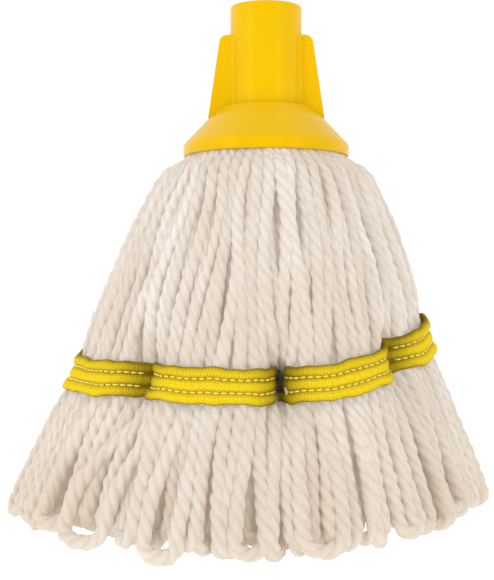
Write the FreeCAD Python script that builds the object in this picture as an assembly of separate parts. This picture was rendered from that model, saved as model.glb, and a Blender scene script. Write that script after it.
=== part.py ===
import FreeCAD, Part
import math
import os

from FreeCAD import Vector

# A looped string mop head that hangs from a handle pushed into its socket.
# Millimetres, +Z up. The origin is the middle of the handle seat, the floor of the handle bore.
# Azimuths are in degrees, 0 at the front (-Y) and growing towards +X.

# ---- socket moulding -------------------------------------------------------------------
BORE_R = 12.5               # bore for a 25 mm handle
BORE_DEPTH = 43.0
TUBE_R = 15.7
TUBE_EDGE = 0.8             # rounding of the tube's mouth
WEB_T = 3.0                 # wall between the bore and the yarn cup
RIM_Z = -23.0               # lower edge of the bell
RIM_R = 36.3
LIP_H = 3.6                 # straight lip above the rim
CONE_TOP_R = 25.3           # where the bell's 45 degree cone ends
CONE_TOP_Z = -6.3
SHOULDER_R = 19.5
SHOULDER_Z = -1.2
SHOULDER_EDGE = 3.0         # roundings of the bell outside, from the top down
CONE_EDGE = 6.0
LIP_EDGE = 3.0
RIM_EDGE = 0.5
LIP_RISE = 1.4              # how far above the lip the cone's line meets it
BELL_WALL = 2.4
CUP_EDGE = 2.0              # roundings inside the bell
CUP_CONE_EDGE = 3.0
CUP_DROP = 1.5              # how far the cup's corner is below the bell's
CUP_LIP_RISE = 0.4
WING_TOP_Z = 29.8
WING_TOP_HALF = 20.0        # half span of the two wings at their top
WING_FOOT_HALF = 25.3       # and at the bell
WING_T = 13.0
WING_CORNER_R = 3.6
WING_FILLET_R = 2.6
ROOT_DEPTH = 1.0            # how far a part that joins another reaches into it
BOSS_R = 5.5
BOSS_END_Z = -14.0
PILOT_R = 1.7

# ---- clamp under the yarn's head -----------------------------------------------------------
PLUG_R = 15.0
PLUG_TOP_R = 7.0
PLUG_TOP_Z = -20.0
PLUG_RIM_Z = -27.0          # lower end of the plug's cone
PLUG_END_Z = -35.0
PLUG_EDGE = 1.0
SCREW_R = 2.0
SCREW_HOLE_R = 2.3
SCREW_TIP_Z = -6.0
SCREW_HEAD_R = 4.0
SCREW_HEAD_H = 2.8
SCREW_HEAD_EDGE = 1.2
RECESS_W = 1.1              # cross recess
RECESS_LENGTH = 5.0
RECESS_H = 1.6
WASHER_R = 6.0
WASHER_T = 1.2

# ---- head tape, rolled round the boss --------------------------------------------------------
TAPE_IN_R = 5.9
TAPE_OUT_R = 7.5
TAPE_TOP_Z = -7.2
TAPE_END_Z = -19.0

# ---- yarn -----------------------------------------------------------------------------------
SWING_R = 39.0              # spherical face between the yarn that is clamped and the part that swings
COLLAR_R = 60.0             # spherical face between the two swinging parts
SWING_GAP = 0.5
YARN_DROP = 163.0           # from the rim to the bottom of the loops
NECK_R = 41.0               # yarn radius level with the rim
BULGE = 4.4                 # extra radius where the strands arch out below the rim
BULGE_RIGHT = 0.8           # and more of it towards +X
BULGE_DROP = 42.0
BULGE_SPREAD = 36.0
FLARE = 0.33                # radius gained per millimetre of drop at the front and back
FLARE_SIDES = 0.1           # extra flare at both sides
FLARE_LEFT = 0.0475         # extra flare towards -X, and less towards +X
HEM_DROP = 150.0            # below this the loops turn inwards
HEM_TUCK = 5.0
GROOVES = [-110.0, -43.0, 4.5, 51.0, 112.0, 150.0, 185.0, 220.0]   # pleats between the clumps
GROOVE_DEPTH = 9.0
GROOVE_START = 20.0         # the pleats deepen from this drop
GROOVE_FULL = 85.0          # to this one
GROOVE_HALF_ANGLE = 7.0
SHARES = (0.0, 0.1, 0.2, 0.35, 0.5, 0.65, 0.8, 0.9, 1.0)   # where a clump's surface is set out
CLUMP_GAP = 0.2             # degrees left at each flank of a clump
NECK_CLEAR = 0.4            # between the clamped yarn and the plastic round it
NECK_CORNER = 1.5           # how far the clamped yarn stays out of the bell's inner corner
NECK_CORE_R = 15.2
CORE_R = 11.6               # central strands inside the collar
CORE_FLARE = 0.28
CORE_START = 57.0
CORE_CLEAR = 0.4
COLLAR_LEVELS = (0.8, 8.0, 18.0, 30.0, 62.0)          # drops at which the yarn's sections are set out
CLUMP_LEVELS = (18.0, 34.0, CORE_START, GROOVE_FULL, 105.0, HEM_DROP, YARN_DROP)

# ---- tail band ---------------------------------------------------------------------------------
BAND_W = 14.0
BAND_DROP = 84.0            # mid height of the band at the back
BAND_DIP = 12.8             # the band is lower at the front
BAND_TILT = 16.1            # and lower on the -X side than on the +X side
BAND_SWAY = 7.5             # with a slight wave between them
BAND_CLEAR = 1.0
BAND_T = 1.6
STITCH_T = 0.6
STITCH_GAP = 0.12
STITCH_OFFSET = 2.6         # the two stitch rows lie this far above and below mid height


TOUCHING = 1e-3             # lengths under this count as nothing


def save(shape, node):
    shape.exportStep("parts/" + node + ".step")
    state = "ok" if shape.isValid() else "NOT VALID"
    print(node, state, "solids", len(shape.Solids), "volume", round(shape.Volume))


def line(a, b):
    return Part.LineSegment(a, b).toShape()


def outline(points):
    """Closed wire in the XZ plane from (r, z) or (r, z, corner radius) points."""
    count = len(points)
    edges = []
    ends = []
    for i, point in enumerate(points):
        here = Vector(point[0], 0, point[1])
        radius = point[2] if len(point) > 2 else 0.0
        if radius == 0.0:
            ends.append((here, here))
            continue
        back = points[i - 1]
        ahead = points[(i + 1) % count]
        to_back = (Vector(back[0], 0, back[1]) - here).normalize()
        to_ahead = (Vector(ahead[0], 0, ahead[1]) - here).normalize()
        half = to_back.getAngle(to_ahead) / 2
        cut = radius / math.tan(half)
        middle = (to_back + to_ahead).normalize()
        apex = here + middle * (radius / math.sin(half) - radius)
        ends.append((here + to_back * cut, here + to_ahead * cut))
        edges.append(Part.Arc(ends[-1][0], apex, ends[-1][1]).toShape())
    for i in range(count):
        start = ends[i][1]
        end = ends[(i + 1) % count][0]
        if start.distanceToPoint(end) > TOUCHING:
            edges.append(line(start, end))
    return Part.Wire(Part.__sortEdges__(edges))


def turned(points):
    """Solid of revolution about Z of a closed (r, z) outline."""
    face = Part.Face(outline(points))
    return face.revolve(Vector(0, 0, 0), Vector(0, 0, 1), 360)


def cylinder(radius, low, high):
    return Part.makeCylinder(radius, high - low, Vector(0, 0, low))


def ball(radius):
    """Sphere about the swing centre, which is the middle of the rim."""
    return Part.makeSphere(radius, Vector(0, 0, RIM_Z))


# ---- socket ----------------------------------------------------------------------------------------

def wing(side):
    """One flat wing, a tapering plate beside the tube; side is 1 or -1."""
    inner = BORE_R + ROOT_DEPTH
    points = [
        (inner, WING_TOP_Z),
        (WING_TOP_HALF, WING_TOP_Z, WING_CORNER_R),
        (WING_FOOT_HALF, CONE_TOP_Z),
        (inner, CONE_TOP_Z - ROOT_DEPTH),
    ]
    plate = Part.Face(outline(points)).extrude(Vector(0, WING_T, 0))
    plate.translate(Vector(0, -WING_T / 2, 0))
    if side < 0:
        plate.rotate(Vector(0, 0, 0), Vector(0, 0, 1), 180)
    return plate


def wing_roots(body):
    """The four upright edges where a wing's flat faces meet the tube."""
    root_x = math.sqrt(TUBE_R ** 2 - (WING_T / 2) ** 2)
    found = []
    for edge in body.Edges:
        box = edge.BoundBox
        upright = box.ZLength > WING_T / 2 and box.XLength < TOUCHING
        if upright and abs(abs(box.Center.x) - root_x) < TOUCHING:
            found.append(edge)
    return found


def socket_shell():
    tube = [
        (0, BORE_DEPTH),
        (TUBE_R, BORE_DEPTH, TUBE_EDGE),
        (TUBE_R, CONE_TOP_Z - ROOT_DEPTH),
        (0, CONE_TOP_Z - ROOT_DEPTH),
    ]
    bell = [
        (0, SHOULDER_Z),
        (SHOULDER_R, SHOULDER_Z, SHOULDER_EDGE),
        (CONE_TOP_R, CONE_TOP_Z, CONE_EDGE),
        (RIM_R, RIM_Z + LIP_H + LIP_RISE, LIP_EDGE),
        (RIM_R, RIM_Z, RIM_EDGE),
        (0, RIM_Z),
    ]
    cup = [
        (0, -WEB_T),
        (SHOULDER_R - BELL_WALL, -WEB_T, CUP_EDGE),
        (CONE_TOP_R - BELL_WALL, CONE_TOP_Z - CUP_DROP, CUP_CONE_EDGE),
        (RIM_R - BELL_WALL, RIM_Z + LIP_H + CUP_LIP_RISE, CUP_EDGE),
        (RIM_R - BELL_WALL, RIM_Z - ROOT_DEPTH),
        (0, RIM_Z - ROOT_DEPTH),
    ]
    body = turned(tube).fuse(wing(1)).fuse(wing(-1)).removeSplitter()
    body = body.makeFillet(WING_FILLET_R, wing_roots(body))
    body = body.fuse(turned(bell)).cut(turned(cup))
    body = body.fuse(cylinder(BOSS_R, BOSS_END_Z, -WEB_T / 2))
    body = body.cut(cylinder(PILOT_R, BOSS_END_Z - ROOT_DEPTH, -WEB_T))
    body = body.cut(cylinder(BORE_R, 0, BORE_DEPTH + ROOT_DEPTH))
    return body.removeSplitter()


def retaining_plug():
    points = [
        (0, PLUG_TOP_Z),
        (PLUG_TOP_R, PLUG_TOP_Z, PLUG_EDGE),
        (PLUG_R, PLUG_RIM_Z, PLUG_EDGE),
        (PLUG_R, PLUG_END_Z, PLUG_EDGE),
        (0, PLUG_END_Z),
    ]
    hole = cylinder(SCREW_HOLE_R, PLUG_END_Z - ROOT_DEPTH, PLUG_TOP_Z + ROOT_DEPTH)
    return turned(points).cut(hole)


def plug_washer():
    under = PLUG_END_Z - WASHER_T
    hole = cylinder(SCREW_HOLE_R, under - ROOT_DEPTH, PLUG_END_Z + ROOT_DEPTH)
    return cylinder(WASHER_R, under, PLUG_END_Z).cut(hole)


def plug_screw():
    under_head = PLUG_END_Z - WASHER_T
    low = under_head - SCREW_HEAD_H
    head = turned([
        (0, under_head),
        (SCREW_HEAD_R, under_head),
        (SCREW_HEAD_R, low, SCREW_HEAD_EDGE),
        (0, low),
    ])
    shank = turned([
        (0, under_head - SCREW_HEAD_H / 2),
        (0, SCREW_TIP_Z),
        (SCREW_R, SCREW_TIP_Z - 2 * SCREW_R),
        (SCREW_R, under_head - SCREW_HEAD_H / 2),
    ])
    screw = head.fuse(shank)
    corner = Vector(-RECESS_LENGTH / 2, -RECESS_W / 2, low - ROOT_DEPTH)
    for angle in (0, 90):
        slot = Part.makeBox(RECESS_LENGTH, RECESS_W, RECESS_H + ROOT_DEPTH, corner)
        slot.rotate(Vector(0, 0, 0), Vector(0, 0, 1), angle)
        screw = screw.cut(slot)
    return screw


def head_tape():
    ring = cylinder(TAPE_OUT_R, TAPE_END_Z, TAPE_TOP_Z)
    return ring.cut(cylinder(TAPE_IN_R, TAPE_END_Z - ROOT_DEPTH, TAPE_TOP_Z + ROOT_DEPTH))


# ---- yarn --------------------------------------------------------------------------------------------

def envelope(azimuth, drop):
    """Outer radius of the yarn without its pleats."""
    side = math.sin(math.radians(azimuth))
    flare = FLARE + FLARE_SIDES * side ** 2 - FLARE_LEFT * side
    arch = BULGE + BULGE_RIGHT * side
    bulge = arch * math.exp(-((drop - BULGE_DROP) / BULGE_SPREAD) ** 2)
    tuck = max(0.0, (drop - HEM_DROP) / (YARN_DROP - HEM_DROP)) ** 2 * HEM_TUCK
    return NECK_R + flare * drop + bulge - tuck


def groove(azimuth, drop):
    """How far the surface dips into the nearest pleat."""
    nearest = min(abs((azimuth - g + 180) % 360 - 180) for g in GROOVES)
    grown = min(1.0, max(0.0, (drop - GROOVE_START) / (GROOVE_FULL - GROOVE_START)))
    return GROOVE_DEPTH * grown * math.exp(-(nearest / GROOVE_HALF_ANGLE) ** 2)


def yarn_point(azimuth, drop, outwards=0.0):
    """Point on the pleated yarn surface, or that far outside it."""
    radius = envelope(azimuth, drop) - groove(azimuth, drop) + outwards
    return polar(azimuth, radius, drop)


def polar(azimuth, radius, drop):
    angle = math.radians(azimuth)
    return Vector(radius * math.sin(angle), -radius * math.cos(angle), RIM_Z - drop)


def spline(points):
    curve = Part.BSplineCurve()
    curve.interpolate(points)
    return curve.toShape()


def core_radius(drop):
    return CORE_R + CORE_CLEAR + CORE_FLARE * max(0.0, drop - CORE_START)


def clump_section(first, last, drop):
    """Closed wire round one clump at one level: pleated outside, straight flanks and inside."""
    low = first + CLUMP_GAP
    high = last - CLUMP_GAP
    outside = [yarn_point(low + (high - low) * share, drop) for share in SHARES]
    inner = core_radius(drop)
    start = polar(low, inner, drop)
    middle = polar((low + high) / 2, inner, drop)
    end = polar(high, inner, drop)
    inside = Part.Arc(end, middle, start).toShape()
    edges = [spline(outside), line(outside[-1], end), inside, line(start, outside[0])]
    return Part.Wire(edges)


def clump_body(first, last, drops):
    wires = [clump_section(first, last, drop) for drop in drops]
    return Part.makeLoft(wires, True, True)


def clump_angles():
    """First and last azimuth of each clump, pleat to pleat."""
    ends = GROOVES[1:] + [GROOVES[0] + 360]
    return list(zip(GROOVES, ends))


def neck(first, last):
    """Clamped yarn between plug and bell, down to the spherical face."""
    ledge = RIM_Z - NECK_CLEAR
    ledge_r = math.sqrt(SWING_R ** 2 - NECK_CLEAR ** 2)
    cup_r = RIM_R - BELL_WALL - NECK_CLEAR
    top = CONE_TOP_Z - NECK_CORNER
    tape_r = TAPE_OUT_R + NECK_CLEAR
    inner = NECK_CORE_R + NECK_CLEAR
    foot_z = RIM_Z - math.sqrt(SWING_R ** 2 - inner ** 2)
    corners = [
        Vector(ledge_r, 0, ledge),
        Vector(cup_r, 0, ledge),
        Vector(cup_r, 0, RIM_Z + LIP_H),
        Vector(CONE_TOP_R - BELL_WALL - NECK_CORNER, 0, top),
        Vector(tape_r, 0, top),
        Vector(tape_r, 0, PLUG_TOP_Z + NECK_CLEAR),
        Vector(inner, 0, PLUG_RIM_Z + NECK_CLEAR),
        Vector(inner, 0, foot_z),
    ]
    edges = [line(a, b) for a, b in zip(corners, corners[1:])]
    diagonal = SWING_R * math.sqrt(0.5)
    middle = Vector(diagonal, 0, RIM_Z - diagonal)
    edges.append(Part.Arc(corners[-1], middle, corners[0]).toShape())
    face = Part.Face(Part.Wire(edges))
    solid = face.revolve(Vector(0, 0, 0), Vector(0, 0, 1), last - first - 2 * CLUMP_GAP)
    solid.rotate(Vector(0, 0, 0), Vector(0, 0, 1), first + CLUMP_GAP - 90)
    return solid


def neck_core():
    top = PLUG_END_Z - WASHER_T - SCREW_HEAD_H - NECK_CLEAR
    return cylinder(NECK_CORE_R, RIM_Z - SWING_R, top).common(ball(SWING_R))


def collar(first, last):
    whole = clump_body(first, last, COLLAR_LEVELS)
    return whole.common(ball(COLLAR_R)).cut(ball(SWING_R + SWING_GAP))


def collar_core():
    rod = cylinder(CORE_R, RIM_Z - COLLAR_R, RIM_Z)
    return rod.common(ball(COLLAR_R)).cut(ball(SWING_R + SWING_GAP))


def clump(first, last):
    whole = clump_body(first, last, CLUMP_LEVELS)
    return whole.cut(ball(COLLAR_R + SWING_GAP))


def skirt_core():
    points = [
        (0, RIM_Z - COLLAR_R),
        (CORE_R, RIM_Z - CORE_START),
        (core_radius(YARN_DROP) - CORE_CLEAR, RIM_Z - YARN_DROP),
        (0, RIM_Z - YARN_DROP),
    ]
    return turned(points).cut(ball(COLLAR_R + SWING_GAP))


# ---- tail band -----------------------------------------------------------------------------------------

def band_drop(azimuth):
    """Mid height of the band, which is level at the back and tilted in front."""
    angle = math.radians(azimuth)
    front = (1 + math.cos(angle)) / 2
    dip = BAND_DIP * math.cos(angle) - BAND_TILT * math.sin(angle)
    return BAND_DROP + front * (dip + BAND_SWAY * math.sin(2 * angle))


def band_edge(first, last, level, outwards):
    """Curve across one clump, pleat to pleat, level mm above the band's mid height."""
    azimuths = [first + (last - first) * share for share in SHARES]
    points = [yarn_point(azimuth, band_drop(azimuth) - level, outwards) for azimuth in azimuths]
    curve = Part.BSplineCurve()
    curve.interpolate(Points=points, Parameters=azimuths)
    return curve.toShape()


def band_ring(low, high, inside, outside):
    """Closed strip round the yarn between two levels and two distances from the yarn."""
    corners = [(low, inside), (low, outside), (high, outside), (high, inside)]
    faces = []
    for first, last in clump_angles():
        curves = [band_edge(first, last, level, outwards) for level, outwards in corners]
        faces += [Part.makeRuledSurface(curves[i - 1], curves[i]) for i in range(4)]
    shell = Part.Shell(faces)
    shell.sewShape()
    solid = Part.Solid(shell)
    if solid.Volume < 0:
        solid.reverse()
    return solid


def tail_band():
    return band_ring(-BAND_W / 2, BAND_W / 2, BAND_CLEAR, BAND_CLEAR + BAND_T)


def stitch_row(level):
    face = BAND_CLEAR + BAND_T + STITCH_GAP
    return band_ring(level - STITCH_T / 2, level + STITCH_T / 2, face, face + STITCH_T)


def build():
    os.makedirs("parts", exist_ok=True)
    save(socket_shell(), "socket_shell")
    save(retaining_plug(), "retaining_plug")
    save(plug_washer(), "plug_washer")
    save(plug_screw(), "plug_screw")
    save(head_tape(), "head_tape")
    save(neck_core(), "yarn_neck_core")
    save(collar_core(), "yarn_collar_core")
    save(skirt_core(), "yarn_skirt_core")
    for number, (first, last) in enumerate(clump_angles(), 1):
        save(neck(first, last), "yarn_neck_" + str(number))
        save(collar(first, last), "yarn_collar_" + str(number))
        save(clump(first, last), "yarn_clump_" + str(number))
    save(tail_band(), "tail_band")
    save(stitch_row(STITCH_OFFSET), "stitch_row_upper")
    save(stitch_row(-STITCH_OFFSET), "stitch_row_lower")


build()
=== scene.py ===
import math
import random

import bpy
import numpy as np
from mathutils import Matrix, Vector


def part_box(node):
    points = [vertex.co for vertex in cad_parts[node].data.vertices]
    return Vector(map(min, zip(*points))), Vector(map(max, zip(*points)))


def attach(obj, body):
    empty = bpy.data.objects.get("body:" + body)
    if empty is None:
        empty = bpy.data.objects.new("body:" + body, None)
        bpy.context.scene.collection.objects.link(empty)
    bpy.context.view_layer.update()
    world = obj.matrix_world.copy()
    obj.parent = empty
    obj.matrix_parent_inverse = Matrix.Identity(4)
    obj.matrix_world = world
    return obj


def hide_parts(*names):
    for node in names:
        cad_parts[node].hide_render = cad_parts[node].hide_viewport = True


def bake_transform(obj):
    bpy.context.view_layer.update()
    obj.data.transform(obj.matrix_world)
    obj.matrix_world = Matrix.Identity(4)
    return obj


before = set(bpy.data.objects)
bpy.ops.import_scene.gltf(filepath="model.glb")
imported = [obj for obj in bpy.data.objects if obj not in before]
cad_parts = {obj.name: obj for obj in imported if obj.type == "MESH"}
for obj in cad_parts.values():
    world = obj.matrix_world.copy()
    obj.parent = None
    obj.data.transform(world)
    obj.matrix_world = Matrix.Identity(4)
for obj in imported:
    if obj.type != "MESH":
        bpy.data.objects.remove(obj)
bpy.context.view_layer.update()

# A looped string mop head. Metres. An azimuth is in degrees, 0 at the front (-Y) and growing
# towards +X. A drop is the distance below the rim of the socket's bell.
MM = 0.001
SOCKET, COLLAR, SKIRT = "socket", "yarn_collar", "yarn_skirt"

# ---- the yarn's outer surface, as the CAD clumps have it -----------------------------------------
RIM_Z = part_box("socket_shell")[0].z
CUP_R = 33.9 * MM            # inside of the bell at its rim
YARN_DROP = RIM_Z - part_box("yarn_clump_1")[0].z
NECK_R = 41.0 * MM           # radius just under the rim
BULGE = 4.4 * MM             # how far the yarn arches out above the band
BULGE_RIGHT = 0.8 * MM       # more on the right and less on the left
BULGE_DROP = 42.0 * MM
BULGE_SPREAD = 36.0 * MM
FLARE = 0.33                 # growth of the radius with each unit of drop
FLARE_SIDES = 0.1            # more at both sides
FLARE_LEFT = 0.0475          # more on the left and less on the right
HEM_DROP = 150.0 * MM        # where the hem starts to round in
HEM_TUCK = 5.0 * MM
# Azimuths of the pleats between the clumps.
GROOVES = [-110.0, -43.0, 4.5, 51.0, 112.0, 150.0, 185.0, 220.0]
GROOVE_DEPTH = 9.0 * MM
GROOVE_START = 20.0 * MM
GROOVE_FULL = 85.0 * MM
GROOVE_HALF_ANGLE = 7.0

# ---- the strands ---------------------------------------------------------------------------------
YARN_D = 5.8 * MM
YARN_R = YARN_D / 2
PLIES = 3
LAY = 19.0 * MM              # length of one full turn of the plies
RUNS = 116                   # strand runs in each of the two outer layers
LAYER = 4.2 * MM             # from one layer to the next
DECLARED_LOOPS = 40
SWING_SPLIT = 27.0 * MM      # drop at which a strand's upper piece ends
SWING_END = 66.0 * MM        # drop at which a strand follows the skirt alone

# ---- tail band -----------------------------------------------------------------------------------
BAND_W = 14.0 * MM
BAND_DROP = 84.0 * MM
BAND_DIP = 12.8 * MM
BAND_TILT = 16.1 * MM
BAND_SWAY = 7.5 * MM
BAND_CLEAR = 1.0 * MM
STITCH_OFFSET = 2.6 * MM
# Millimetres that the band is drawn in at each groove, and the width and height of these folds.
PINCHES = [2, 4, 12, 3, 2, 3, 2, 3]
PINCH_HALF_ANGLE = 2.1
PINCH_SPREAD = 13.0 * MM

rng = random.Random(7)


def envelope(azimuth, drop):
    """Radius of the head without its pleats."""
    side = np.sin(np.radians(azimuth))
    flare = FLARE + FLARE_SIDES * side ** 2 - FLARE_LEFT * side
    bulge = (BULGE + BULGE_RIGHT * side) * np.exp(-((drop - BULGE_DROP) / BULGE_SPREAD) ** 2)
    tuck = np.maximum(0.0, (drop - HEM_DROP) / (YARN_DROP - HEM_DROP)) ** 2 * HEM_TUCK
    return NECK_R + flare * drop + bulge - tuck


def groove(azimuth, drop):
    """Depth of the pleats, which grow from under the rim down."""
    grown = np.clip((drop - GROOVE_START) / (GROOVE_FULL - GROOVE_START), 0.0, 1.0)
    return GROOVE_DEPTH * grown * np.exp(-(nearest_groove(azimuth) / GROOVE_HALF_ANGLE) ** 2)


def nearest_groove(azimuth):
    """Degrees to the nearest pleat."""
    return np.min([np.abs((azimuth - g + 180) % 360 - 180) for g in GROOVES], axis=0)


def band_drop(azimuth):
    """Mid height of the band, which is level at the back and tilted in front."""
    angle = np.radians(azimuth)
    front = (1 + np.cos(angle)) / 2
    dip = BAND_DIP * np.cos(angle) - BAND_TILT * np.sin(angle)
    return BAND_DROP + front * (dip + BAND_SWAY * np.sin(2 * angle))


def pinch(azimuth, drop):
    """The narrow fold between two clumps where the band ties them."""
    height = (drop - band_drop(azimuth)) / PINCH_SPREAD
    away = [np.abs((azimuth - g + 180) % 360 - 180) / PINCH_HALF_ANGLE for g in GROOVES]
    depths = [depth * MM * np.exp(-share ** 2) for depth, share in zip(PINCHES, away)]
    return np.max(depths, axis=0) * np.exp(-height ** 2)


RELAXED = 0.25               # share of a pleat's depth that is left away from the band
RELAX_SPREAD = 17.0 * MM
WAIST = 2.4 * MM             # how far the band draws all strands in
WAIST_SPREAD = 10.0 * MM
WAIST_BACK = 2.6 * MM        # and further in from the sides round the back


def surface(azimuth, drop):
    """Radius of the strands' outer face: the pleats are deep only where the band ties them."""
    away = drop - band_drop(azimuth)
    pleat = groove(azimuth, drop) * (RELAXED + (1 - RELAXED) * np.exp(-(away / RELAX_SPREAD) ** 2))
    round_back = smooth((np.abs((azimuth + 180) % 360 - 180) - 72) / 20)
    waist = (WAIST + WAIST_BACK * round_back) * np.exp(-(away / WAIST_SPREAD) ** 2)
    return envelope(azimuth, drop) - pleat - waist - pinch(azimuth, drop)


def place(azimuth, radius, drop):
    """Points in the row frame, along the last axis of the array."""
    angle = np.radians(azimuth)
    return np.stack([radius * np.sin(angle), -radius * np.cos(angle), RIM_Z - drop], axis=-1)


def smooth(t):
    """Goes from 0 to 1 with a soft start and end as t does."""
    t = np.clip(t, 0.0, 1.0)
    return t * t * (3 - 2 * t)


# ---- camera, light and floor ---------------------------------------------------------------------

CAMERA_DISTANCE = 0.590
EYE_Z = RIM_Z - 65.0 * MM
CAMERA_X = -8.4 * MM
CAMERA_DIP = math.radians(-0.63)
VIEW_ANGLE = math.radians(24.4)


def add_camera():
    camera = bpy.data.cameras.new("camera")
    camera.sensor_fit = "VERTICAL"
    camera.angle = VIEW_ANGLE
    camera.clip_start = 0.01
    camera_object = bpy.data.objects.new("camera", camera)
    camera_object.location = (CAMERA_X, -CAMERA_DISTANCE, EYE_Z)
    camera_object.rotation_euler = (math.pi / 2 - CAMERA_DIP, 0, 0)
    bpy.context.scene.collection.objects.link(camera_object)
    bpy.context.scene.camera = camera_object


def add_light(name, azimuth, elevation, distance, size, power):
    """A soft box that faces the middle of the picture from that direction."""
    light = bpy.data.lights.new(name, "AREA")
    light.shape = "RECTANGLE"
    light.size, light.size_y = size
    light.energy = power
    lamp = bpy.data.objects.new(name, light)
    across, up = math.radians(azimuth), math.radians(elevation)
    lamp.location = (
        distance * math.cos(up) * math.sin(across),
        -distance * math.cos(up) * math.cos(across),
        EYE_Z + distance * math.sin(up),
    )
    lamp.rotation_euler = (math.pi / 2 - up, 0, across)
    bpy.context.scene.collection.objects.link(lamp)


def add_world():
    """A plain white studio all round."""
    world = bpy.data.worlds.new("studio")
    world.use_nodes = True
    background = world.node_tree.nodes["Background"]
    background.inputs["Color"].default_value = (1.0, 1.0, 1.0, 1.0)
    background.inputs["Strength"].default_value = 1.02
    bpy.context.scene.world = world
    bpy.context.scene.view_settings.view_transform = "Standard"


FLOOR_GAP = 0.120            # the head hangs this far above the floor


def add_floor():
    bpy.ops.mesh.primitive_circle_add(
        vertices=96, radius=3.0, fill_type="NGON", location=(0, 0, RIM_Z - YARN_DROP - FLOOR_GAP))
    floor = bpy.context.object
    floor.name = "floor"
    floor.data.materials.append(floor_material())


# ---- materials -----------------------------------------------------------------------------------

class Shader:
    """A small helper that adds nodes to one material and links them."""

    def __init__(self, name):
        self.material = bpy.data.materials.new(name)
        self.material.use_nodes = True
        self.tree = self.material.node_tree
        self.principled = self.tree.nodes["Principled BSDF"]

    def node(self, kind, inputs=None, **settings):
        made = self.tree.nodes.new(kind)
        for key, value in settings.items():
            setattr(made, key, value)
        for key, value in (inputs or {}).items():
            if isinstance(value, bpy.types.NodeSocket):
                self.tree.links.new(value, made.inputs[key])
            else:
                made.inputs[key].default_value = value
        return made

    def fixed(self, **values):
        for key, value in values.items():
            self.principled.inputs[key.replace("_", " ")].default_value = value

    def link(self, socket, name):
        self.tree.links.new(socket, self.principled.inputs[name])

    def ramp(self, factor, stops):
        made = self.node("ShaderNodeValToRGB", {"Fac": factor})
        while len(made.color_ramp.elements) < len(stops):
            made.color_ramp.elements.new(0.5)
        for element, (position, colour) in zip(made.color_ramp.elements, stops):
            element.position = position
            element.color = (*colour, 1.0)
        return made.outputs["Color"]

    def mix(self, factor, a, b):
        made = self.node("ShaderNodeMix", data_type="RGBA")
        for index, value in ((0, factor), (6, a), (7, b)):
            if isinstance(value, bpy.types.NodeSocket):
                self.tree.links.new(value, made.inputs[index])
            else:
                made.inputs[index].default_value = value
        return made.outputs[2]

    def noise(self, vector, scale, detail=3.0, roughness=0.55):
        made = self.node("ShaderNodeTexNoise", {
            "Vector": vector, "Scale": scale, "Detail": detail, "Roughness": roughness})
        return made.outputs["Fac"]

    def stretched(self, vector, scale):
        made = self.node("ShaderNodeMapping", {"Vector": vector, "Scale": scale})
        return made.outputs["Vector"]

    def attribute(self, name, output="Vector"):
        return self.node("ShaderNodeAttribute", attribute_name=name).outputs[output]

    def place_here(self):
        return self.node("ShaderNodeTexCoord").outputs["Object"]

    def bump(self, height, strength, distance, normal=None):
        inputs = {"Height": height, "Strength": strength, "Distance": distance}
        if normal is not None:
            inputs["Normal"] = normal
        return self.node("ShaderNodeBump", inputs).outputs["Normal"]


def floor_material():
    """Plain white floor."""
    shader = Shader("floor_white")
    grain = shader.noise(shader.place_here(), 6.0)
    shader.link(shader.ramp(grain, [(0.3, (0.93, 0.93, 0.92)), (0.7, (0.95, 0.95, 0.945))]),
                "Base Color")
    shader.fixed(Roughness=0.9, Emission_Color=(1.0, 1.0, 1.0, 1.0), Emission_Strength=0.35)
    return shader.material


def yarn_material():
    """Soft twisted cotton: each strand its own tint, painted shade in the furrows, deep inside the
    head and in the darkest fold, fine fibre streaks, and a faint glow of its own colour as painted
    light.
    """
    shader = Shader("cotton_yarn")
    fibre = shader.attribute("fibre")
    here = shader.place_here()
    base = shader.ramp(shader.attribute("tint", "Fac"), [
        (0.0, (0.56, 0.50, 0.44)), (0.5, (0.62, 0.57, 0.52)), (1.0, (0.65, 0.61, 0.57))])
    broad = shader.ramp(shader.noise(here, 24.0, 2.0), [
        (0.38, (0.55, 0.55, 0.55)), (0.58, (0, 0, 0))])
    patched = shader.mix(broad, base, (0.53, 0.45, 0.37, 1))
    streaks = shader.noise(shader.stretched(fibre, (2200.0, 2200.0, 260.0)), 1.0, 5.0, 0.7)
    streaked = shader.mix(shader.ramp(streaks, [(0.3, (0.5, 0.5, 0.5)), (0.62, (0, 0, 0))]),
                          patched, (0.46, 0.38, 0.30, 1))
    # Painted shade: the furrows between the plies are darkened.
    furrow = shader.ramp(shader.attribute("furrow", "Fac"), [(0, (0, 0, 0)), (1, (0.35, 0.35, 0.35))])
    furrow_shaded = shader.mix(furrow, streaked, (0.48, 0.39, 0.30, 1))
    # Painted shade: strands deeper inside the head are darker; the same attribute also darkens slack
    # strands towards the hem.
    deep = shader.mix(shader.attribute("shade", "Fac"), furrow_shaded, (0.50, 0.41, 0.31, 1))
    # Painted shade: near black in the deepest fold between two clumps, where the band draws them in.
    creased = shader.mix(shader.attribute("crease", "Fac"), deep, (0.03, 0.018, 0.01, 1))
    shader.link(creased, "Base Color")
    # Painted light: the yarn glows with its own colour, at the emission strength set below, which
    # lifts its shadows.
    shader.link(creased, "Emission Color")
    rough = shader.ramp(streaks, [(0.3, (0.95, 0.95, 0.95)), (0.8, (0.80, 0.80, 0.80))])
    shader.link(rough, "Roughness")
    fuzz = shader.noise(shader.stretched(fibre, (4200.0, 4200.0, 900.0)), 1.0, 4.0, 0.75)
    first = shader.bump(streaks, 0.8, 0.6 * MM)
    shader.link(shader.bump(fuzz, 0.6, 0.4 * MM, first), "Normal")
    # Emission_Strength is painted light: the yarn glows a little.
    shader.fixed(Sheen_Weight=0.2, Sheen_Roughness=0.6, Subsurface_Weight=0.12,
                 Subsurface_Scale=1.5 * MM, Subsurface_Radius=(1.0, 0.85, 0.7),
                 Specular_IOR_Level=0.1, Emission_Strength=0.36)
    return shader.material


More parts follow.
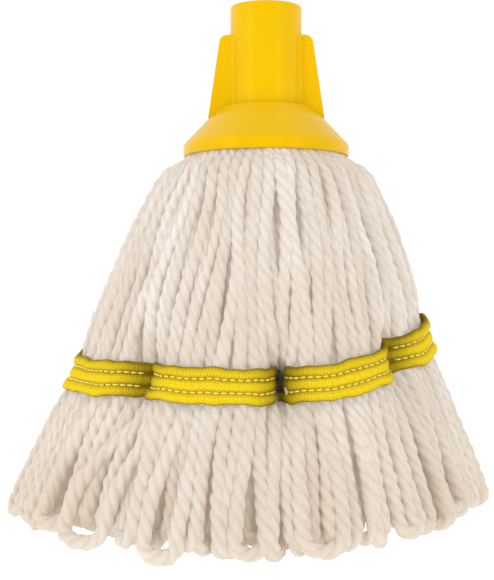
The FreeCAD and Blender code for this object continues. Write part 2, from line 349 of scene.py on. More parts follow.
def plastic_material():
    """Moulded yellow polypropylene, semi-gloss, with a faint orange-peel surface."""
    shader = Shader("socket_plastic")
    here = shader.place_here()
    cloud = shader.noise(here, 28.0, 2.0)
    shader.link(shader.ramp(cloud, [(0.3, (0.68, 0.405, 0.001)), (0.7, (0.73, 0.44, 0.002))]),
                "Base Color")
    peel = shader.noise(here, 900.0, 2.0)
    scuffs = shader.noise(shader.stretched(here, (60.0, 60.0, 420.0)), 1.0, 6.0, 0.7)
    shader.link(shader.ramp(scuffs, [(0.35, (0.26, 0.26, 0.26)), (0.75, (0.36, 0.36, 0.36))]),
                "Roughness")
    shader.link(shader.bump(peel, 0.12, 0.1 * MM), "Normal")
    shader.fixed(Specular_IOR_Level=0.28, Specular_Tint=(1.0, 0.72, 0.08, 1.0))
    return shader.material


def band_material():
    """Ribbed yellow woven tape: the weave is in the mesh, the yarn's grain is here, and painted shade
    turns it olive where furrow is high.
    """
    shader = Shader("tail_band")
    weave = shader.attribute("fibre")
    depth = shader.attribute("furrow", "Fac")
    grain = shader.noise(shader.stretched(weave, (1500.0, 1500.0, 1.0)), 1.0, 4.0, 0.7)
    base = shader.ramp(grain, [(0.3, (0.70, 0.48, 0.004)), (0.7, (0.86, 0.66, 0.02))])
    # Painted shade: olive where the furrow attribute marks the valleys, the folds and the back.
    shader.link(shader.mix(depth, base, (0.20, 0.14, 0.003, 1)), "Base Color")
    shader.link(shader.bump(grain, 0.5, 0.25 * MM), "Normal")
    shader.fixed(Roughness=0.75, Specular_IOR_Level=0.1)
    return shader.material


def thread_material():
    """Bright yellow sewing thread."""
    shader = Shader("stitch_thread")
    weave = shader.attribute("fibre")
    grain = shader.noise(shader.stretched(weave, (2500.0, 900.0, 1.0)), 1.0, 3.0)
    shader.link(shader.ramp(grain, [(0.3, (0.78, 0.60, 0.03)), (0.7, (0.88, 0.76, 0.16))]),
                "Base Color")
    shader.link(shader.bump(grain, 0.5, 0.1 * MM), "Normal")
    shader.fixed(Roughness=0.5, Sheen_Weight=0.2)
    return shader.material


def tape_material():
    """Undyed woven tape, out of sight inside the bell."""
    shader = Shader("head_tape")
    grain = shader.noise(shader.stretched(shader.place_here(), (1.0, 1.0, 3.0)), 1400.0, 3.0)
    shader.link(shader.ramp(grain, [(0.3, (0.66, 0.62, 0.54)), (0.7, (0.80, 0.77, 0.70))]),
                "Base Color")
    shader.link(shader.bump(grain, 0.6, 0.2 * MM), "Normal")
    shader.fixed(Roughness=0.9, Sheen_Weight=0.2)
    return shader.material


def plug_material():
    """Matte off-white plastic."""
    shader = Shader("plug_plastic")
    grain = shader.noise(shader.place_here(), 700.0, 3.0)
    shader.link(shader.ramp(grain, [(0.3, (0.74, 0.74, 0.71)), (0.7, (0.82, 0.82, 0.79))]),
                "Base Color")
    shader.link(shader.bump(grain, 0.2, 0.1 * MM), "Normal")
    shader.fixed(Roughness=0.55)
    return shader.material


def zinc_material():
    """Zinc-plated steel with a fine spangle."""
    shader = Shader("zinc_steel")
    here = shader.place_here()
    spangle = shader.noise(here, 800.0, 4.0)
    shader.link(shader.ramp(spangle, [(0.3, (0.55, 0.56, 0.56)), (0.7, (0.72, 0.73, 0.72))]),
                "Base Color")
    shader.link(shader.ramp(spangle, [(0.3, (0.25, 0.25, 0.25)), (0.7, (0.45, 0.45, 0.45))]),
                "Roughness")
    shader.link(shader.bump(spangle, 0.1, 0.05 * MM), "Normal")
    shader.fixed(Metallic=1.0)
    return shader.material


# ---- meshes --------------------------------------------------------------------------------------

def add_mesh(name, points, faces, material, attributes=None):
    """A smooth-shaded object from arrays; attributes maps a name to one value or vector a point."""
    mesh = bpy.data.meshes.new(name)
    mesh.from_pydata(points.tolist(), [], faces.tolist())
    for key, values in (attributes or {}).items():
        if values.ndim == 2:
            made = mesh.attributes.new(key, "FLOAT_VECTOR", "POINT")
            made.data.foreach_set("vector", values.astype(np.float32).ravel())
        else:
            made = mesh.attributes.new(key, "FLOAT", "POINT")
            made.data.foreach_set("value", values.astype(np.float32))
    mesh.polygons.foreach_set("use_smooth", np.ones(len(mesh.polygons), bool))
    mesh.materials.append(material)
    mesh.validate()
    piece = bpy.data.objects.new(name, mesh)
    bpy.context.scene.collection.objects.link(piece)
    return piece


def grid_faces(rows, columns, closed_rows=False, closed_columns=True):
    """Quads of a grid of points whose columns, and perhaps rows, close on themselves."""
    row = np.arange(rows if closed_rows else rows - 1)
    column = np.arange(columns if closed_columns else columns - 1)
    r, c = np.meshgrid(row, column, indexing="ij")
    r2, c2 = (r + 1) % rows, (c + 1) % columns
    corners = [r * columns + c, r * columns + c2, r2 * columns + c2, r2 * columns + c]
    return np.stack([corner.ravel() for corner in corners], axis=1)


def centreline(points):
    """The smooth line of a strand: points read from the NURBS spline of its route."""
    curve = bpy.data.curves.new("route", "CURVE")
    curve.dimensions = "3D"
    spline = curve.splines.new("NURBS")
    spline.points.add(len(points) - 1)
    for knot, point in zip(spline.points, points):
        knot.co = (*point, 1.0)
    spline.order_u = 3
    spline.use_endpoint_u = True
    spline.resolution_u = 8
    route = bpy.data.objects.new("route", curve)
    mesh = bpy.data.meshes.new_from_object(route)
    line = np.array([v.co for v in mesh.vertices])
    bpy.data.objects.remove(route)
    bpy.data.curves.remove(curve)
    bpy.data.meshes.remove(mesh)
    return line


def length_of(line):
    """Length of a line of points."""
    return float(np.linalg.norm(np.diff(line, axis=0), axis=1).sum())


def stations(line, step):
    """Places along a line about one step apart, with their distance from its start."""
    along = np.concatenate([[0], np.cumsum(np.linalg.norm(np.diff(line, axis=0), axis=1))])
    count = max(2, int(round(along[-1] / step)) + 1)
    at = np.linspace(0, along[-1], count)
    return np.stack([np.interp(at, along, line[:, k]) for k in range(3)], axis=1), at


def frames(line):
    """A side and an upward direction at each place, carried along without twist."""
    tangent = np.gradient(line, axis=0)
    tangent /= np.linalg.norm(tangent, axis=1, keepdims=True)
    side = np.empty_like(line)
    start = np.cross(tangent[0], (0.3, 1.0, 0.2))
    side[0] = start / np.linalg.norm(start)
    for i in range(1, len(line)):
        turned = side[i - 1] - tangent[i] * np.dot(side[i - 1], tangent[i])
        side[i] = turned / np.linalg.norm(turned)
    return side, np.cross(tangent, side)


FURROW_TAUT = 0.20           # how far a furrow between two plies cuts into a taut strand
FURROW_SLACK = 0.25          # and into a slack one
SLACK_SHADE = 0.38           # slack strands look this much darker
CREASE_START = 3.6 * MM      # pinches deeper than this get painted shade
CREASE_FULL = 7.2 * MM
CREASE_HALF = 2.3            # degrees to either side that the painted shade reaches further
CREASE_SPREAD = 9.5 * MM     # and how far above and below the middle of the band
SLACK_DROP = 55.0 * MM       # strands thicken from here down to the hem
STRAND_THIN = 0.95           # thickness of a taut strand above the band
STRAND_THICK = 1.14          # and of a slack one at the hem
FINE = (1.5 * MM, 6)         # ring spacing and points per ply of the strands that show
COARSE = (2.4 * MM, 4)       # and of those behind them
PLY_ROUND = 0.6              # under 1, a ply's back is rounder and its furrow narrower
PLY_UNEVEN = 0.035           # spread of the plies' thickness
FIBRE_UNEVEN = 0.03          # spread of the surface about a ply


def rope(line, detail, seed, shade=0.0):
    """The twisted surface of one strand along a line.

    Beside its points it gives what the yarn's material reads: fibre is a place in the straightened
    strand, furrow is 1 between two plies, tint is the strand's own, shade is 1 deep inside the head
    and crease is 1 in the dark of a fold. The material paints shade by furrow, shade and crease.
    """
    step, points_per_ply = detail
    noise = np.random.default_rng(seed)
    centres, along = stations(line, step)
    side, up = frames(centres)
    ring = PLIES * points_per_ply
    around = np.arange(ring) / ring
    crest = (0.5 + 0.5 * np.cos(2 * np.pi * PLIES * around)) ** PLY_ROUND
    wander = 0.35 * np.sin(along[:, None] / (31 * MM) + noise.uniform(0, 6))
    angle = 2 * math.pi * (around[None] - along[:, None] / LAY) + noise.uniform(0, 6) + wander
    swell = noise.uniform(0.92, 1.08)
    swell = swell + 0.05 * np.sin(along / (4.5 * MM) + noise.uniform(0, 6))
    swell = swell + 0.04 * np.sin(along / (11 * MM) + noise.uniform(0, 6))
    slack = smooth((RIM_Z - centres[:, 2] - SLACK_DROP) / (YARN_DROP - SLACK_DROP))
    thick = YARN_R * swell * (STRAND_THIN + (STRAND_THICK - STRAND_THIN) * slack)
    ply_size = noise.normal(1.0, PLY_UNEVEN, PLIES)[np.arange(ring) // points_per_ply]
    furrow = (FURROW_TAUT + (FURROW_SLACK - FURROW_TAUT) * slack)[:, None]
    radius = thick[:, None] * (1 - furrow + furrow * crest[None]) * ply_size[None]
    radius = radius * (1 + noise.normal(0, FIBRE_UNEVEN, (len(along), ring)))
    points = centres[:, None] + radius[..., None] * (
        np.cos(angle)[..., None] * side[:, None] + np.sin(angle)[..., None] * up[:, None])
    fibre = np.stack([
        YARN_R * np.cos(angle), YARN_R * np.sin(angle),
        np.repeat(along[:, None] + seed * 0.37, ring, axis=1)], axis=-1)
    azimuth = np.degrees(np.arctan2(centres[:, 0], -centres[:, 1]))
    drop = RIM_Z - centres[:, 2]
    around_it = (-CREASE_HALF, 0, CREASE_HALF)
    squeezed = np.max([pinch(azimuth + off, drop) for off in around_it], axis=0)
    crease = smooth((squeezed - CREASE_START) / (CREASE_FULL - CREASE_START))
    crease = crease * np.exp(-((drop - band_drop(azimuth)) / CREASE_SPREAD) ** 4)
    return {
        "points": points.reshape(-1, 3),
        "rows": len(along),
        "ring": ring,
        "centres": centres,
        "fibre": fibre.reshape(-1, 3),
        "furrow": np.tile((1 - crest) ** 2, len(along)),
        "tint": np.full(len(along) * ring, noise.uniform(0, 1)),
        "shade": np.repeat(shade + SLACK_SHADE * slack, ring),
        "crease": np.repeat(crease, ring),
    }


STRAND_ATTRIBUTES = ("fibre", "furrow", "tint", "shade", "crease")


def rope_part(made, start, stop):
    """The rows of a rope from start up to and including stop."""
    ring = made["ring"]
    cut = slice(start * ring, (stop + 1) * ring)
    return {
        "points": made["points"][cut], "rows": stop + 1 - start, "ring": ring,
        **{key: made[key][cut] for key in STRAND_ATTRIBUTES}}


def join_ropes(name, ropes, material):
    """One piece from several ropes."""
    points = np.concatenate([r["points"] for r in ropes])
    faces, offset = [], 0
    for r in ropes:
        faces.append(grid_faces(r["rows"], r["ring"]) + offset)
        offset += len(r["points"])
    attributes = {key: np.concatenate([r[key] for r in ropes]) for key in STRAND_ATTRIBUTES}
    return add_mesh(name, points, np.concatenate(faces), material, attributes)


# ---- routes of the strands -----------------------------------------------------------------------

TUCK = 4.0 * MM              # how much deeper strands lie where the band folds between clumps
TUCK_HALF_ANGLE = 4.5
PARTING = 2.4                # degrees by which strands part for the fold
OPEN_GROOVE = 4.5            # the one pleat where the strands do not part: a dark gap


def tuck(azimuth, drop):
    """Extra depth of the strands under the band, at the folds between clumps."""
    near = (nearest_groove(azimuth) / TUCK_HALF_ANGLE) ** 2
    return TUCK * np.exp(-near - ((drop - band_drop(azimuth)) / WAIST_SPREAD) ** 2)


def parted(azimuth, drop):
    """Azimuth of a strand that is pushed away from the fold between two clumps."""
    moved = azimuth
    near = math.exp(-float((drop - band_drop(azimuth)) / WAIST_SPREAD) ** 2)
    for groove_azimuth in GROOVES:
        away = (azimuth - groove_azimuth + 180) % 360 - 180
        if groove_azimuth != OPEN_GROOVE:
            push = PARTING * near * math.exp(-(away / TUCK_HALF_ANGLE) ** 2)
            moved += math.copysign(push, away)
    return moved


def strand_radius(azimuth, drop, depth):
    """Radius of a strand's centreline that lies that deep under the surface."""
    return surface(azimuth, drop) - YARN_R - depth - tuck(azimuth, drop)


def even_azimuths(count):
    """Azimuths of strand runs, evenly spaced along the surface a little below the band."""
    azimuth = np.linspace(GROOVES[0], GROOVES[0] + 360, 2881)
    drop = band_drop(azimuth) + RELAX_SPREAD
    line = place(azimuth, surface(azimuth, drop), drop)
    along = np.concatenate([[0], np.cumsum(np.linalg.norm(np.diff(line, axis=0), axis=1))])
    return np.interp((np.arange(count) + 0.5) / count * along[-1], along, azimuth)


NECK_LAYERS = 2              # at the rim each outer layer is crowded into this many
NECK_STEP = 2.9 * MM
UPPER_DROPS = np.array([14, 24, 35, 47, 59, 70, 80]) * MM


def upper_route(azimuth, inset, depth, wave):
    """A run from inside the bell down to the middle of the band.

    inset is its depth at the neck and depth is that at the band. wave is how far it sways to the
    side, the phase of that, and how far it comes in and out.
    """
    mouth = [
        (CUP_R - 10.5 * MM - 0.5 * inset, -9.5 * MM),
        (CUP_R - 3.8 * MM - 0.9 * inset, -2.5 * MM),
        (CUP_R + 0.2 * MM - inset, 3.6 * MM + 0.2 * inset),
        (surface(azimuth, 8.0 * MM) - YARN_R - inset, 8.0 * MM + 0.1 * inset),
    ]
    points = [place(azimuth, radius, drop) for radius, drop in mouth]
    end = float(band_drop(azimuth))
    for drop in list(UPPER_DROPS * (end / BAND_DROP)) + [end - 1.5 * MM, end + 1.5 * MM]:
        opened = smooth((drop - 10 * MM) / (62 * MM))
        deep = inset * (1 - opened) + depth * opened
        sway = wave[0] * math.sin(drop / (19 * MM) + wave[1]) * min(1.0, drop / (30 * MM))
        turned = parted(azimuth + math.degrees(sway / surface(azimuth, drop)), drop)
        radius = strand_radius(turned, drop, deep) + wave[2] * math.sin(drop / (11 * MM))
        points.append(place(turned, radius, drop))
    return np.array(points)


# Loops that lie on top of the others: azimuths of the two legs at the band, azimuth of the loop's
# middle, half its width and the drop of its lowest point.
WIDE_LOOPS = [
    (-38.0, -33.0, -45.5, 9.5 * MM, 160.0 * MM),
    (-25.0, -22.0, -25.5, 6.5 * MM, 163.0 * MM),
    (11.0, 16.0, 13.5, 8.0 * MM, 160.5 * MM),
]
WIDE_OUT = 1.2 * MM          # how far they stand out past the others
WIDE_PRESS = 3.4 * MM        # how far the strands under a wide loop are pressed in
HEM_R = 90 * MM              # about the head's radius near the hem


def pressed(azimuth, drop):
    """Extra depth of the strands that lie under a wide loop."""
    deepest = 0.0
    for _, _, middle, width, _ in WIDE_LOOPS:
        reach = 1.5 * math.degrees(width / HEM_R)
        grown = smooth((drop - BAND_DROP - 8 * MM) / (22 * MM))
        deepest = max(deepest, WIDE_PRESS * grown * math.exp(-((azimuth - middle) / reach) ** 4))
    return deepest


LEG_SHARES = (0.16, 0.32, 0.48, 0.64, 0.80, 0.93)    # points of a leg, as shares of its drop
BEND_CORNER = 0.45           # place of the bend's corners, as a share of the loop's half width


def loop_route(legs, middle, depth, turn, width, lowest, bows, under=True):
    """A loop from the band down and back up to it.

    legs are the (azimuth, depth) of both ends at the band. middle and depth place the loop's
    lowest point, width is half its span there, and turn is how far its plane is turned from
    lying along the surface.
    """
    across, inwards = math.cos(turn), math.sin(turn)
    radius = float(surface(middle, HEM_DROP))

    def foot(share, drop):
        moved = middle + math.degrees(share * width * across / radius)
        level = depth + share * width * inwards
        if under:
            level += pressed(moved, drop)
        return place(moved, strand_radius(moved, drop, level), drop)

    halves = []
    for side, (azimuth, level), bow in zip((-1, 1), legs, bows):
        start = float(band_drop(azimuth))
        apart = parted(azimuth, start)
        half = [place(apart, strand_radius(apart, start, level), start)]
        end = lowest - 1.7 * width
        target = middle + math.degrees(side * width * across / radius)
        for share in LEG_SHARES:
            drop = start + (end - start) * share
            moved = azimuth + (target - azimuth) * smooth(share)
            moved += math.degrees(bow / radius) * math.sin(math.pi * share)
            moved = parted(moved, drop)
            deep = level + (depth + side * width * inwards - level) * smooth(share)
            if under:
                deep += pressed(moved, drop)
            half.append(place(moved, strand_radius(moved, drop, deep), drop))
        half.append(foot(side, lowest - 1.25 * width))
        half.append(foot(side, lowest - BEND_CORNER * width))
        half.append(foot(side * BEND_CORNER, lowest))
        halves.append(half)
    return np.array(halves[0] + halves[1][::-1])


def clump_of(azimuth):
    """Number, from 1, of the clump that an azimuth falls in."""
    turned = (azimuth - GROOVES[0]) % 360 + GROOVES[0]
    return int(np.searchsorted(GROOVES, turned, side="right"))


# Lowest point of the loops, in millimetres below the rim, at these azimuths.
HEM_AZIMUTHS = [-180, -90, -62, -47, -36, 0, 30, 42, 53, 65, 90, 180]
HEM_DROPS = [158, 156.5, 157, 155, 160, 163.5, 159, 156, 157, 150.5, 152, 158]


def hem(azimuth):
    """Drop of the centreline at the lowest point of a full loop."""
    turned = (azimuth + 180) % 360 - 180
    return float(np.interp(turned, HEM_AZIMUTHS, HEM_DROPS)) * MM - STRAND_THICK * YARN_R


def split_row(made, drop):
    """The row of a rope that is nearest to a drop."""
    return int(np.argmin(np.abs(made["centres"][:, 2] - (RIM_Z - drop))))


def swing_with(piece, upper):
    """Bakes a piece's placement into its mesh, the same for an upper piece as for a lower one."""
    if upper:
        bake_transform(piece)
    else:
        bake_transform(piece)


CLUMPS = range(1, len(GROOVES) + 1)


def build_upper_strands(material, azimuths, depths):
    """All runs above the band, in both outer layers."""
    upper = {k: [] for k in CLUMPS}
    lower = {k: [] for k in CLUMPS}
    for layer in (0, 1):
        for i, azimuth in enumerate(azimuths[layer]):
            sway = rng.triangular(0.4, 5.0, 1.2) * MM
            wave = (sway, rng.uniform(0, 6.28), rng.uniform(-0.8, 0.8) * MM)
            inset = NECK_STEP * (i % NECK_LAYERS + NECK_LAYERS * layer)
            route = upper_route(azimuth, inset, depths[layer][i], wave)
            made = rope(centreline(route), COARSE if layer else FINE, 1000 * layer + i, 0.25 * layer)
            row = split_row(made, SWING_SPLIT)
            upper[clump_of(azimuth)].append(rope_part(made, 0, row))
            lower[clump_of(azimuth)].append(rope_part(made, row, made["rows"] - 1))
    for k in CLUMPS:
        piece = join_ropes(f"strands_neck_{k}", upper[k], material)
        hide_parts(f"yarn_neck_{k}", f"yarn_collar_{k}")
        swing_with(piece, upper=True)
        swing_with(join_ropes(f"strands_{k}", lower[k], material), upper=False)


def plan_loops(azimuths, depths):
    """Route and first azimuth of every loop below the band."""
    routes = []
    for first, second, middle, width, lowest in WIDE_LOOPS:
        legs = ((first, LAYER), (second, LAYER))
        bows = (-1.5 * MM, 1.5 * MM)
        route = loop_route(legs, middle, -WIDE_OUT, 0.0, width, lowest - YARN_R, bows, under=False)
        routes.append((route, first))
    i = 0
    while i < RUNS:
        outer, inner = azimuths[0][i], azimuths[1][i]
        lowest = hem(outer) - rng.triangular(0, 6, 0.5) * MM
        bows = (rng.uniform(-2, 2) * MM, rng.uniform(-2, 2) * MM)
        paired = i + 1 < RUNS and clump_of(outer) == clump_of(azimuths[0][i + 1])
        if paired and rng.random() < 0.3:
            for layer in (0, 1):
                legs = [(azimuths[layer][j], depths[layer][j]) for j in (i, i + 1)]
                middle = (legs[0][0] + legs[1][0]) / 2 + rng.uniform(-1.5, 1.5)
                depth = 0.5 * MM + 7.5 * MM * layer
                turn = math.radians(rng.uniform(-25, 25))
                width = rng.uniform(4.8, 6.4) * MM
                drop = lowest - layer * rng.uniform(2, 7) * MM
                routes.append((loop_route(legs, middle, depth, turn, width, drop, bows), outer))
            i += 2
            continue
        legs = ((outer, depths[0][i]), (inner, depths[1][i]))
        width = rng.uniform(5.1, 6.2) * MM
        turn = math.radians(rng.uniform(48, 84) if rng.random() < 0.75 else rng.uniform(96, 125))
        middle = outer + rng.uniform(-1.6, 1.6)
        depth = width * math.sin(turn) + rng.uniform(0.0, 1.2) * MM
        routes.append((loop_route(legs, middle, depth, turn, width, lowest, bows), outer))
        i += 1
    return routes


def build_loops(material, routes):
    """The loops below the band; the longest are pieces of their own, the rest join by clump."""
    lines = [centreline(route) for route, azimuth in routes]
    longest = sorted(range(len(lines)), key=lambda j: -length_of(lines[j]))
    declared = set(longest[:DECLARED_LOOPS])
    grouped = {k: [] for k in CLUMPS}
    for j, (line, (route, azimuth)) in enumerate(zip(lines, routes)):
        made = rope(line, FINE, 500 + j)
        clump = clump_of(azimuth)
        if j not in declared:
            grouped[clump].append(made)
            continue
        piece = join_ropes(f"loop_{j + 1:03d}", [made], material)
        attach(piece, SKIRT)
        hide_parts(f"yarn_clump_{clump}")
    for clump, ropes in grouped.items():
        if not ropes:
            continue
        piece = join_ropes(f"loops_{clump}", ropes, material)
        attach(piece, SKIRT)
        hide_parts(f"yarn_clump_{clump}")


INNER_DROPS = np.array([-8, 0, 10, 25, 42, 60, 80, 100, 120, 138]) * MM
INNER_RINGS = ((0.84, 36), (0.62, 22), (0.40, 12), (0.17, 5))    # share of the radius, loops
INNER_FREE = 20.0 * MM       # below this drop the inner strands keep out of the pleats
INNER_SPLIT = SWING_END + 12 * MM
INNER_MIN_R = 9 * MM         # the turn of a loop is measured at this radius or further out


def inner_route(azimuth, share, lowest, width):
    """A loop inside the skirt, at that share of its radius, from the clamp down and back up."""
    halves = []
    for side in (-1, 1):
        half = []
        for drop in INNER_DROPS:
            opened = smooth(drop / (60 * MM))
            radius = envelope(azimuth, max(drop, 0)) * share * (0.8 + 0.2 * opened)
            turned = azimuth + side * math.degrees(width / max(radius, INNER_MIN_R))
            if drop > INNER_FREE:
                radius = min(radius, float(strand_radius(turned, drop, 2.2 * LAYER)))
            half.append(place(turned, radius, drop))
        radius = envelope(azimuth, lowest) * share
        for part, drop in ((1, lowest - BEND_CORNER * width), (BEND_CORNER, lowest)):
            turned = azimuth + side * part * math.degrees(width / max(radius, INNER_MIN_R))
            half.append(place(turned, radius, drop))
        halves.append(half)
    return np.array(halves[0] + halves[1][::-1])


def build_inner_strands(material):
    """The loops in the middle of the head, in three pieces; the lowest goes with the skirt."""
    neck, middle, lower = [], [], []
    seed = 2000
    for share, count in INNER_RINGS:
        for k in range(count):
            azimuth = 360 * (k + 0.3 * rng.random()) / count
            lowest = hem(azimuth) - rng.uniform(2, 9) * MM
            route = inner_route(azimuth, share, lowest, rng.uniform(4.0, 6.5) * MM)
            seed += 1
            made = rope(centreline(route), COARSE, seed, 0.85)
            half = made["rows"] // 2
            drops = RIM_Z - made["centres"][:, 2]
            splits = (SWING_SPLIT, INNER_SPLIT)
            cuts = [int(np.argmin(np.abs(drops[:half] - at))) for at in splits]
            cuts += [half + int(np.argmin(np.abs(drops[half:] - at))) for at in splits[::-1]]
            neck += [rope_part(made, 0, cuts[0]), rope_part(made, cuts[3], made["rows"] - 1)]
            middle += [rope_part(made, cuts[0], cuts[1]), rope_part(made, cuts[2], cuts[3])]
            lower.append(rope_part(made, cuts[1], cuts[2]))
    piece = join_ropes("inner_strands_neck", neck, material)
    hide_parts("yarn_neck_core", "yarn_collar_core")
    swing_with(piece, upper=True)
    swing_with(join_ropes("inner_strands", middle, material), upper=False)
    piece = join_ropes("inner_loops", lower, material)
    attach(piece, SKIRT)
    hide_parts("yarn_skirt_core")


# ---- tail band -----------------------------------------------------------------------------------

BAND_ROWS = 46               # points across the tape's outer face
BAND_BACK = 8                # and across its back
BAND_STEP = 0.35 * MM
RIB_W = BAND_W / 3
RIB_HEIGHT = 1.7 * MM
KNIT = 1.35 * MM             # spacing of the tape's knitted stitches
KNIT_HEIGHT = 0.32 * MM
WAVE = 0.3 * MM              # unevenness of its edges
PUCKER = 0.10                # share by which the seam's stitches draw the ribs in
STITCH_LENGTH = 3.0 * MM
STITCH_SHARE = 0.78          # share of it that is thread
THREAD_R = 0.42 * MM


def band_path():
    """Azimuths evenly spaced along the band, the distance along it and its whole length."""
    azimuth = np.linspace(GROOVES[0], GROOVES[0] + 360, 14401)
    line = place(azimuth, surface(azimuth, band_drop(azimuth)), band_drop(azimuth))
    along = np.concatenate([[0], np.cumsum(np.linalg.norm(np.diff(line, axis=0), axis=1))])
    at = np.arange(int(along[-1] / BAND_STEP)) * BAND_STEP
    return np.interp(at, along, azimuth), at, float(along[-1])


def rib(level):
    """Height of the tape's three ribs across its width, as a share of the full height."""
    edges = [-BAND_W / 2, -STITCH_OFFSET, STITCH_OFFSET, BAND_W / 2]
    height = np.zeros_like(level)
    for low, high in zip(edges, edges[1:]):
        across = np.clip((level - low) / (high - low), 0, 1)
        height = np.maximum(height, np.sin(math.pi * across) ** 0.6)
    return height


def band_wave(at, total, row):
    """Slow unevenness of the tape along its length; row is 1 for its upper edge, -1 for its lower."""
    turn = 2 * math.pi * at / total
    return WAVE * (np.sin(19 * turn + row) + 0.7 * np.sin(33 * turn + 2.1 * row)
                   + 0.5 * np.sin(61 * turn - 1.3 * row))


def build_band(material):
    """The ribbed, knitted tape, closed round the head; gives its path for the stitches."""
    azimuth, at, total = band_path()
    levels = np.linspace(-BAND_W / 2, BAND_W / 2, BAND_ROWS)
    share = levels / (BAND_W / 2)
    upper, lower = band_wave(at, total, 1)[:, None], band_wave(at, total, -1)[:, None]
    shift = upper * (1 + share)[None] / 2 + lower * (1 - share)[None] / 2
    pucker = 1 + PUCKER * np.cos(2 * math.pi * at / STITCH_LENGTH)[:, None]
    from_middle = np.abs((levels + 1.5 * RIB_W) % RIB_W - RIB_W / 2)
    loops = np.cos(2 * math.pi * (at[:, None] + 0.8 * from_middle[None]) / KNIT)
    knit = loops * (0.6 + 0.4 * np.cos(2 * math.pi * levels / KNIT)[None])
    height = RIB_HEIGHT * rib(levels)[None] * pucker + KNIT_HEIGHT * knit
    drops = band_drop(azimuth)[:, None] - levels[None] - shift
    spots = azimuth[:, None] + 0 * levels[None]
    outer = place(spots, surface(spots, drops) + BAND_CLEAR + height, drops)
    back = levels[::-BAND_ROWS // BAND_BACK]
    back_shift = np.array([shift[:, np.argmin(np.abs(levels - level))] for level in back]).T
    back_drops = band_drop(azimuth)[:, None] - back[None] - back_shift
    back_spots = azimuth[:, None] + 0 * back[None]
    inner = place(back_spots, surface(back_spots, back_drops) + 0.5 * BAND_CLEAR, back_drops)
    points = np.concatenate([outer, inner], axis=1)
    faces = grid_faces(len(at), points.shape[1], closed_rows=True)
    fibre = np.zeros(points.shape)
    fibre[..., 0] = at[:, None]
    fibre[:, :BAND_ROWS, 1] = levels[None]
    fibre[:, BAND_ROWS:, 1] = back[None]
    # Painted shade: the tape is darkened to olive near the folds between clumps, in the valleys
    # between its ribs, over its upper rib and between its knitted loops; its back is darkened all
    # over.
    fold_shade = 0.7 * np.exp(-(nearest_groove(azimuth) / GROOVE_HALF_ANGLE) ** 2)[:, None]
    valley_shade = np.clip(1.1 - rib(levels) * 1.15, 0, 0.8)[None] + 0.2 * smooth(share / 0.8)[None]
    furrow = np.ones(points.shape[:2])
    furrow[:, :BAND_ROWS] = np.clip(valley_shade + fold_shade - 0.30 * knit, 0, 1)
    piece = add_mesh("tail_band_tape", points.reshape(-1, 3), faces, material,
                     {"fibre": fibre.reshape(-1, 3), "furrow": furrow.ravel()})
    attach(piece, SKIRT)
    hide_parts("tail_band")
    return azimuth, at, total


def build_stitches(material, azimuth, at, total):
    """Both rows of stitches, each stitch a short hump of thread between the ribs."""
    count = int(total / STITCH_LENGTH)
    for name, row in (("stitch_row_upper", 1), ("stitch_row_lower", -1)):
        level = row * STITCH_OFFSET
        share = level / (BAND_W / 2)
        wave = band_wave(at, total, 1) * (1 + share) / 2
        wave = wave + band_wave(at, total, -1) * (1 - share) / 2
        points, faces, fibre = [], [], []
        ring, rows = 6, 7
        for k in range(count):
            start = k * total / count
            along = start + np.linspace(0, STITCH_SHARE, rows) * total / count
            spot = np.interp(along, at, azimuth)
            if nearest_groove(spot).min() < PINCH_HALF_ANGLE:
                continue
            shift = np.interp(along, at, wave)
            hump = np.sin(np.linspace(0.12, math.pi - 0.12, rows))
            drop = band_drop(spot) - level - shift
            radius = surface(spot, drop) + BAND_CLEAR + (0.25 + 0.55 * hump) * MM
            centre = place(spot, radius, drop)
            side, up = frames(centre)
            turn = np.arange(ring) / ring * 2 * math.pi
            thick = THREAD_R * (0.55 + 0.45 * hump)
            across = np.cos(turn)[None, :, None] * side[:, None]
            circle = centre[:, None] + thick[:, None, None] * (
                across + np.sin(turn)[None, :, None] * up[:, None])
            offset = len(points) * rows * ring
            points.append(circle.reshape(-1, 3))
            faces.append(grid_faces(rows, ring) + offset)
            marks = np.zeros((rows, ring, 3))
            marks[..., 0] = along[:, None]
            marks[..., 1] = turn[None] * THREAD_R
            fibre.append(marks.reshape(-1, 3))
        piece = add_mesh(name + "_thread", np.concatenate(points), np.concatenate(faces), material,
                         {"fibre": np.concatenate(fibre)})
        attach(piece, SKIRT)
        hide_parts(name)


# ---- head tape inside the bell -------------------------------------------------------------------

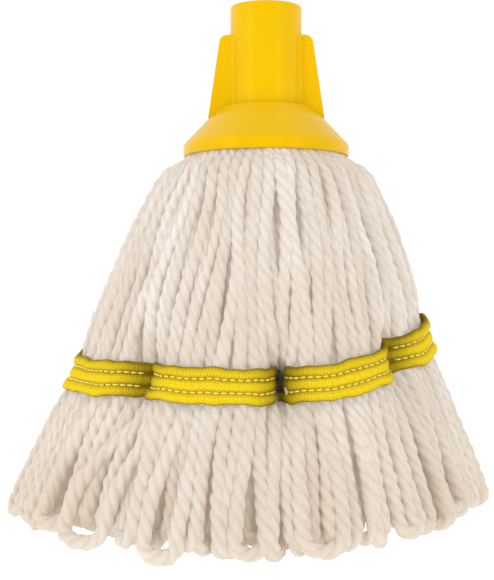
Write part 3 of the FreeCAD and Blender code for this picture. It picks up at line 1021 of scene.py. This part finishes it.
TAPE_INNER_R = 5.95 * MM
TAPE_TURNS = 2.5
TAPE_THICK = 0.45 * MM
TAPE_SPACE = 0.5 * MM        # from one turn's face to the outside of the roll


def build_head_tape(material):
    """The strip that the strands are sewn to, rolled round the boss."""
    low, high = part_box("head_tape")
    inner, outer = TAPE_INNER_R, high.x
    rows, steps = 9, 160
    turn = np.linspace(0, TAPE_TURNS * 2 * math.pi, steps)
    radius = inner + (outer - inner - TAPE_SPACE) * turn / turn[-1]
    heights = np.linspace(low.z, high.z, rows)
    sheets = []
    for extra, order in ((0, heights), (TAPE_THICK, heights[::-1])):
        r = radius + extra
        sheets.append(np.stack([
            np.repeat((r * np.cos(turn))[:, None], rows, 1),
            np.repeat((r * np.sin(turn))[:, None], rows, 1),
            np.repeat(order[None], steps, 0)], axis=-1))
    points = np.concatenate(sheets, axis=1)
    faces = grid_faces(steps, 2 * rows)
    piece = add_mesh("head_tape_roll", points.reshape(-1, 3), faces, material)
    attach(piece, SOCKET)
    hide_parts("head_tape")


# ---- the scene -----------------------------------------------------------------------------------

def finish_cad_nodes():
    """The rigid CAD nodes stay, with their own materials."""
    for material, nodes in (
            (plastic_material(), ["socket_shell"]),
            (plug_material(), ["retaining_plug"]),
            (zinc_material(), ["plug_screw", "plug_washer"])):
        for node in nodes:
            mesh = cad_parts[node].data
            mesh.materials.clear()
            mesh.materials.append(material)


add_camera()
cotton = yarn_material()
run_azimuths = [even_azimuths(RUNS)]
run_azimuths.append(run_azimuths[0] + 180 / RUNS)
run_depths = [
    [layer * LAYER + rng.uniform(0.3, 1.7) * MM for run in range(RUNS)] for layer in (0, 1)]
build_loops(cotton, plan_loops(run_azimuths, run_depths))
build_upper_strands(cotton, run_azimuths, run_depths)
build_inner_strands(cotton)
build_stitches(thread_material(), *build_band(band_material()))
build_head_tape(tape_material())
finish_cad_nodes()
add_world()
add_floor()
add_light("key", -52, 16, 1.6, (0.22, 1.2), 5.2)
add_light("fill", 40, 10, 1.8, (0.22, 1.2), 4.2)
